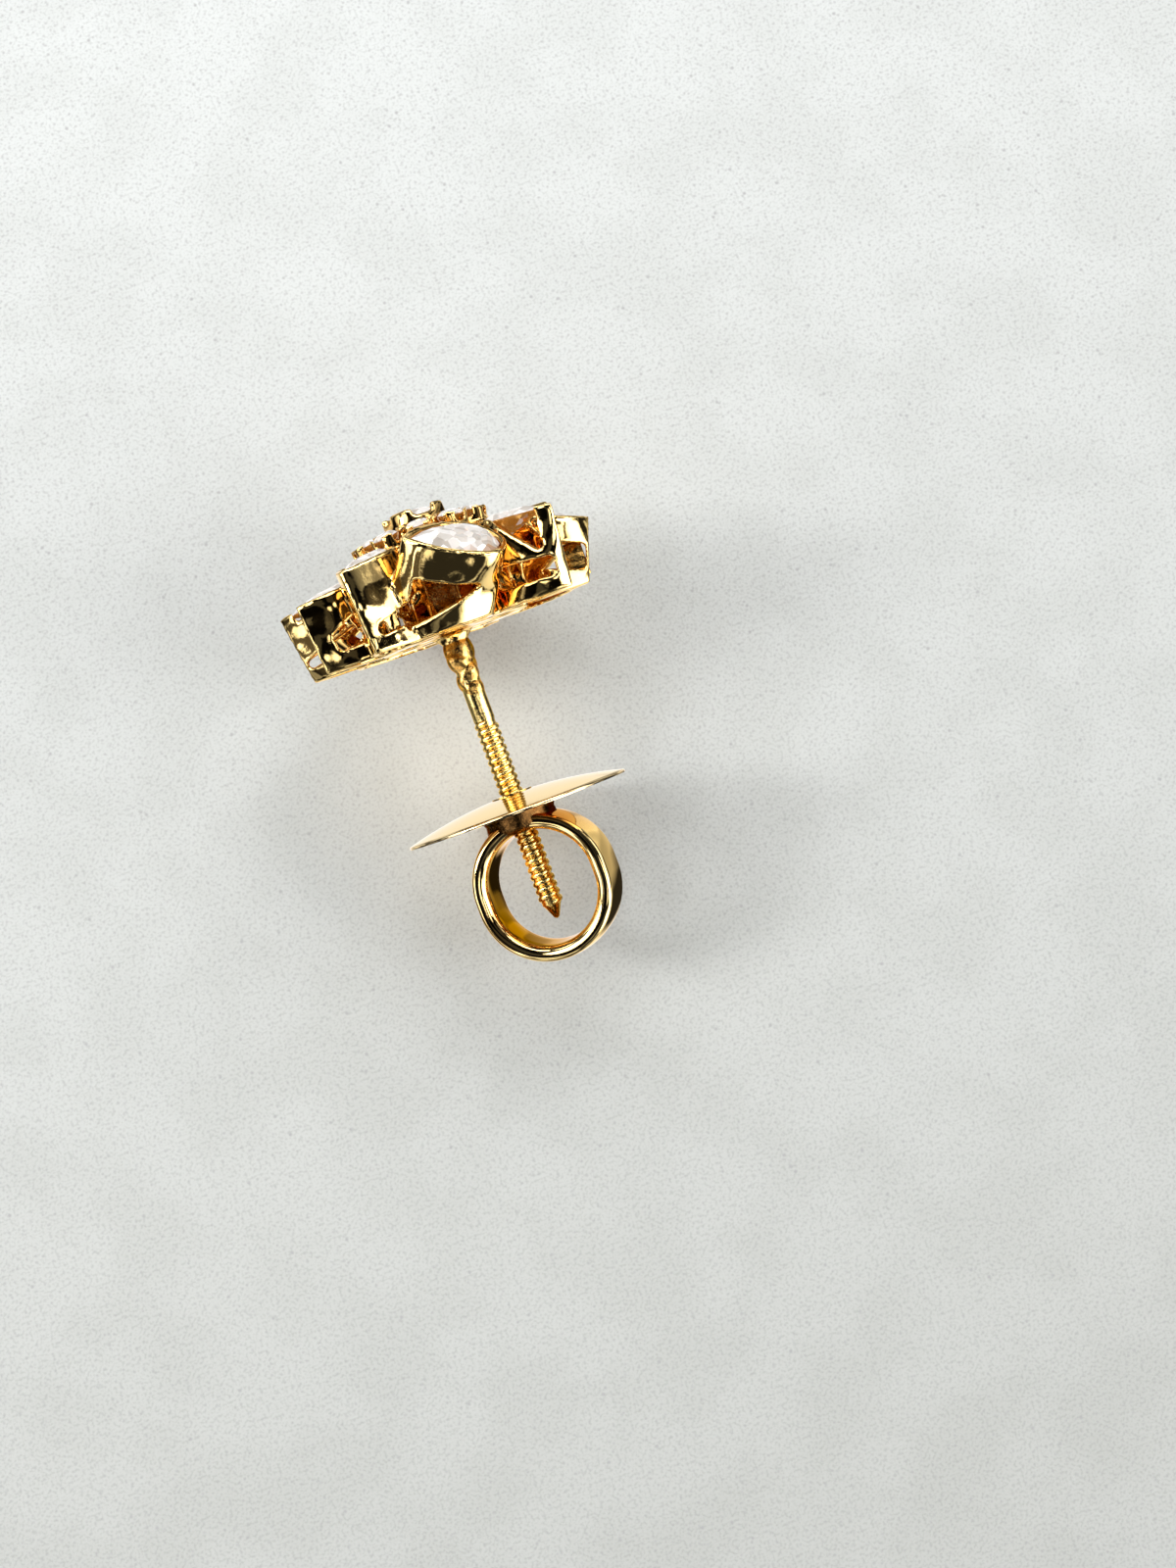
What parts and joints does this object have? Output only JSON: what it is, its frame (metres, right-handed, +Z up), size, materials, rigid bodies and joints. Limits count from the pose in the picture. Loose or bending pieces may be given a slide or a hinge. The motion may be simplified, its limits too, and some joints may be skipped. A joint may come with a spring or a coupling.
{
  "type": "cluster earring",
  "caption": "Screw-back stud earring: a domed flower of set stones on a threaded post, with a thin domed disc and a wide finger ring that screw along it.",
  "frame": {"origin": "on the floor, under the middle of the whole earring as it lies on its head and its disc", "axes": "+Y along the floor towards the head, +Z up, +X to the right of the head seen from the tip's side above"},
  "size_m": [0.0128, 0.0186, 0.0119],
  "materials": {
    "gold": "mirror polished",
    "stone": "faceted and polished"
  },
  "bodies": {
    "head": {"flower_setting": "gold", "centre_stone": "stone", "pear_stone_1": "stone", "pear_stone_2": "stone", "pear_stone_3": "stone", "leaf_stone_1": "stone", "leaf_stone_2": "stone", "leaf_stone_3": "stone", "leaf_stone_4": "stone", "leaf_stone_5": "stone", "leaf_stone_6": "stone", "leaf_stone_7": "stone", "accent_stone_1": "stone", "accent_stone_2": "stone", "accent_stone_3": "stone", "accent_stone_4": "stone", "accent_stone_5": "stone", "accent_stone_6": "stone", "accent_stone_7": "stone", "accent_stone_8": "stone", "accent_stone_9": "stone", "accent_stone_10": "stone"},
    "tube": {"thread_tube": "gold"},
    "back": {"screw_back": "gold"}
  },
  "joints": [
    {"name": "back_travel", "type": "slide", "parent": "head", "child": "tube", "axis": [0, -0.9874, -0.1585], "range_m": [-0.0008, 0.0065]},
    {"name": "back_spin", "type": "hinge", "parent": "tube", "child": "back", "pos_m": [-0.00022, -0.00318, 0.00446], "axis": [0, -0.9874, -0.1585], "range_deg": [-965, 7805]}
  ],
  "couplings": [
    {"joint": "back_spin", "follows": "back_travel", "rad_per_m": 20944}
  ]
}
